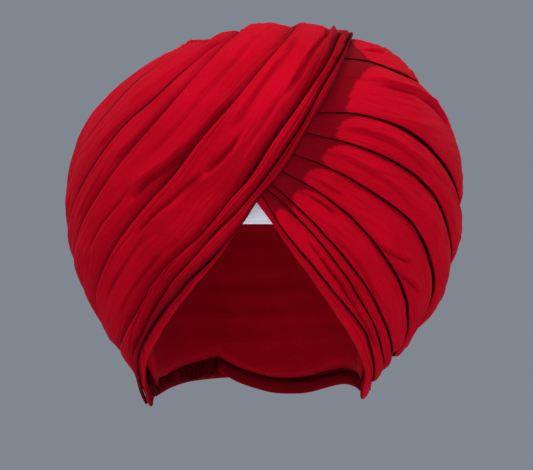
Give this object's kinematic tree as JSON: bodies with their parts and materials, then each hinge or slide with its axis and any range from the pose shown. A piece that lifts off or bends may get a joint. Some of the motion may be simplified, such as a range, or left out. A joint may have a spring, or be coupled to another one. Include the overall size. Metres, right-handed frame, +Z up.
{
  "type": "tied turban",
  "caption": "Tied turban of pleated red cotton with a raised front band crossing a fan of folds, over a white brow band, held up by the head it is wound on.",
  "frame": {"origin": "centre of the head hollow at brow height, level with the lower edge of the white band", "axes": "+Z up towards the crown, -Y towards the face opening at the front, +X towards the fanned folds, on the right as seen from the front; the head leaves the hollow along -Z"},
  "size_m": [0.2742, 0.2739, 0.2646],
  "materials": {
    "red_cotton": "matte crinkled cotton voile, deep red",
    "white_cotton": "matte plain cotton, cool white"
  },
  "bodies": {
    "root": {"lower_wrap": "red_cotton", "middle_wrap": "red_cotton", "crown_wrap": "red_cotton", "under_band": "white_cotton", "edge_pleat": "red_cotton", "second_pleat": "red_cotton", "front_panel": "red_cotton", "side_panel": "red_cotton", "left_layer_one": "red_cotton", "left_layer_two": "red_cotton", "left_layer_three": "red_cotton", "back_layer": "red_cotton", "left_hem": "red_cotton", "right_top": "red_cotton", "right_panel": "red_cotton", "right_fold_one": "red_cotton", "right_fold_two": "red_cotton", "right_fold_three": "red_cotton", "right_fold_four": "red_cotton", "right_pleat_one": "red_cotton", "right_pleat_two": "red_cotton", "right_hem": "red_cotton", "nape_wrap": "red_cotton"}
  },
  "joints": []
}
